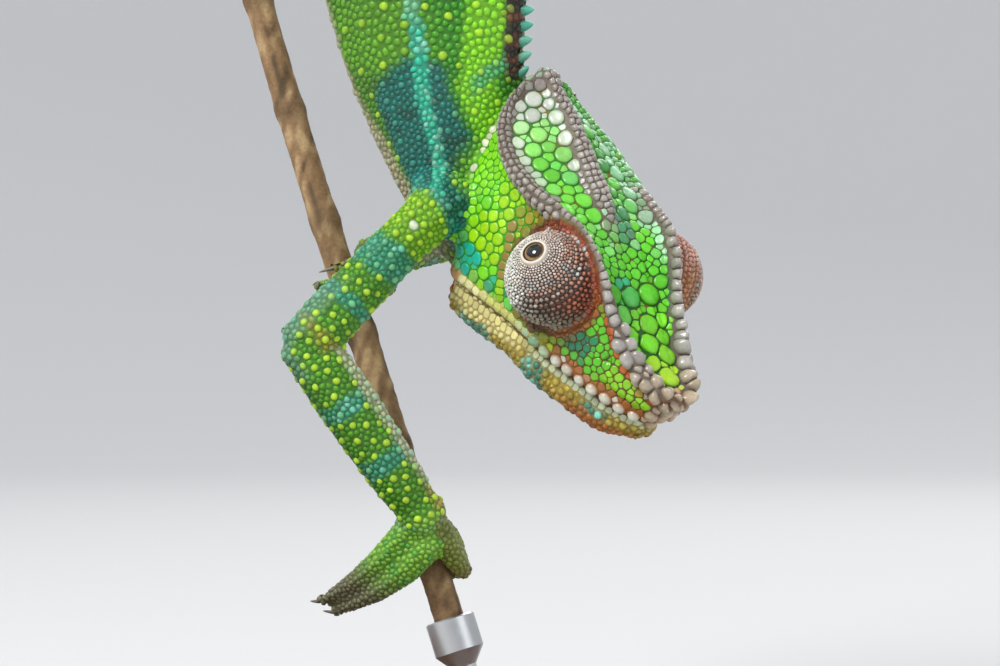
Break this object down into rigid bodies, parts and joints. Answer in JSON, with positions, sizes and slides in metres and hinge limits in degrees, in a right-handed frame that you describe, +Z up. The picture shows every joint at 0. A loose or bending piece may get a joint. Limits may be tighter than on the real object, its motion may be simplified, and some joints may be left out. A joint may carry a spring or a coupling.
{
  "type": "chameleon display model",
  "caption": "Life-size still model of a male panther chameleon climbing head first down a cut stem that a rod holds over a flat base.",
  "frame": {"origin": "middle of the underside of the stand's base", "axes": "+Z up, +X towards the side that the animal's back and snout face, -Y towards the animal's right side"},
  "size_m": [0.15, 0.112, 0.3348],
  "materials": {
    "head_skin": "glossy bead scales, green plates and pale ridges",
    "body_skin": "satin granular scales, green with turquoise stripe and bars",
    "lid_skin": "fine pale granules in rings, red-brown at the foot",
    "eyeball": "wet, gold ring round a black pupil",
    "claw": "horn, dark tip",
    "stem_bark": "thin grey-brown bark",
    "base_wood": "oiled dark wood",
    "steel": "brushed"
  },
  "bodies": {
    "root": {"head": "head_skin", "jaw": "head_skin", "lid_right": "lid_skin", "eye_right": "eyeball", "lid_left": "lid_skin", "eye_left": "eyeball", "neck": "body_skin", "trunk": "body_skin", "tail_base": "body_skin", "tail_front": "body_skin", "tail_middle": "body_skin", "tail_rear": "body_skin", "tail_tip": "body_skin", "upper_arm_right": "body_skin", "forearm_right": "body_skin", "foot_front_right_outer": "body_skin", "foot_front_right_inner": "body_skin", "claw_front_right_outer_1": "claw", "claw_front_right_outer_2": "claw", "claw_front_right_inner_1": "claw", "claw_front_right_inner_2": "claw", "claw_front_right_inner_3": "claw", "upper_arm_left": "body_skin", "forearm_left": "body_skin", "foot_front_left_outer": "body_skin", "foot_front_left_inner": "body_skin", "claw_front_left_outer_1": "claw", "claw_front_left_outer_2": "claw", "claw_front_left_inner_1": "claw", "claw_front_left_inner_2": "claw", "claw_front_left_inner_3": "claw", "thigh_right": "body_skin", "shank_right": "body_skin", "foot_hind_right_outer": "body_skin", "foot_hind_right_inner": "body_skin", "claw_hind_right_outer_1": "claw", "claw_hind_right_outer_2": "claw", "claw_hind_right_outer_3": "claw", "claw_hind_right_inner_1": "claw", "claw_hind_right_inner_2": "claw", "thigh_left": "body_skin", "shank_left": "body_skin", "foot_hind_left_outer": "body_skin", "foot_hind_left_inner": "body_skin", "claw_hind_left_outer_1": "claw", "claw_hind_left_outer_2": "claw", "claw_hind_left_outer_3": "claw", "claw_hind_left_inner_1": "claw", "claw_hind_left_inner_2": "claw", "perch_stem": "stem_bark", "stand_rod": "steel", "stand_base": "base_wood"}
  },
  "joints": []
}
